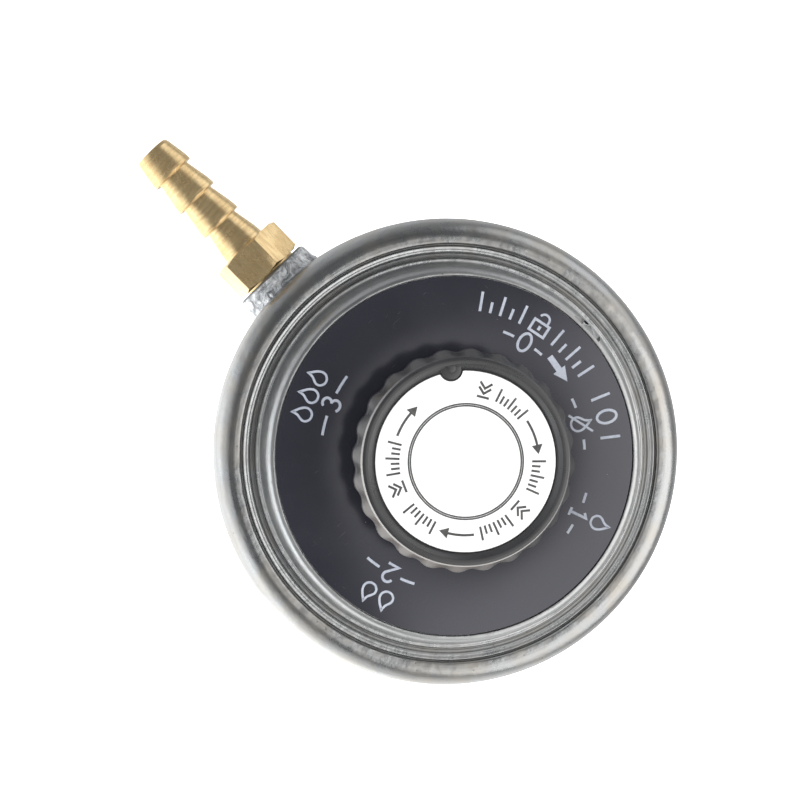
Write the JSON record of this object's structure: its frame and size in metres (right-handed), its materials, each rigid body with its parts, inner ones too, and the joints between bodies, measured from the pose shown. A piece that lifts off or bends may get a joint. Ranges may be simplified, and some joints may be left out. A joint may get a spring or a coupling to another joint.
{
  "type": "gas regulator",
  "caption": "Round low-pressure gas regulator with a push-to-turn scalloped knob on a dial, a radial barbed hose outlet and a threaded rear socket for a fuel cylinder.",
  "frame": {"origin": "on the regulator's main axis, in the plane of the rear inlet collar's end face", "axes": "+Z along the main axis, out through the knob; +X along the hose barb, away from the body; Y completes a right-handed frame"},
  "size_m": [0.1064, 0.076, 0.0461],
  "materials": {
    "cast_alloy": "satin",
    "dial_black": "gloss",
    "knob_black": "satin",
    "cap_white": "satin",
    "brass": "polished",
    "bronze": "matte",
    "rubber": "matte",
    "steel": "satin",
    "spring_steel": "satin",
    "nylon": "satin"
  },
  "bodies": {
    "housing": {"body": "cast_alloy", "bonnet": "cast_alloy", "dial_label": "dial_black", "hose_barb": "brass", "stop_pin": "steel", "seat_insert": "brass", "inlet_probe": "brass", "inlet_gasket": "rubber", "inlet_filter": "bronze", "diaphragm": "rubber", "main_spring": "spring_steel", "knob_spring": "spring_steel", "poppet_spring": "spring_steel", "thrust_washer": "nylon"},
    "spindle_body": {"spindle": "brass", "spindle_oring": "rubber", "knob_washer": "steel", "knob_screw": "steel"},
    "knob_body": {"knob": "knob_black", "knob_cap": "cap_white"},
    "seat_body": {"spring_seat": "cast_alloy"},
    "diaphragm_body": {"diaphragm_plate": "steel", "diaphragm_stud": "brass", "diaphragm_nut": "steel"},
    "poppet_body": {"poppet": "brass", "poppet_seal": "rubber"}
  },
  "joints": [
    {"name": "knob_turn", "type": "hinge", "parent": "housing", "child": "spindle_body", "pos_m": [0, 0, 0.0376], "axis": [0, 0, 1], "range_deg": [-297, 0]},
    {"name": "knob_push", "type": "slide", "parent": "spindle_body", "child": "knob_body", "axis": [0, 0, -1], "range_m": [0, 0.002], "stiffness_N_per_m": 500, "springref_m": -0.004, "deforming": ["knob_spring"]},
    {"name": "seat_travel", "type": "slide", "parent": "housing", "child": "seat_body", "axis": [0, 0, 1], "range_m": [-0.0029, 0], "deforming": ["main_spring"]},
    {"name": "diaphragm_travel", "type": "slide", "parent": "housing", "child": "diaphragm_body", "axis": [0, 0, 1], "range_m": [-0.0009, 0], "stiffness_N_per_m": 600, "springref_m": 0.003, "deforming": ["diaphragm"]},
    {"name": "poppet_travel", "type": "slide", "parent": "housing", "child": "poppet_body", "axis": [0, 0, 1], "range_m": [-0.0009, 0], "deforming": ["poppet_spring"]}
  ],
  "couplings": [
    {"joint": "seat_travel", "follows": "knob_turn", "m_per_rad": 0.00055704},
    {"joint": "poppet_travel", "follows": "diaphragm_travel", "ratio": 1}
  ]
}
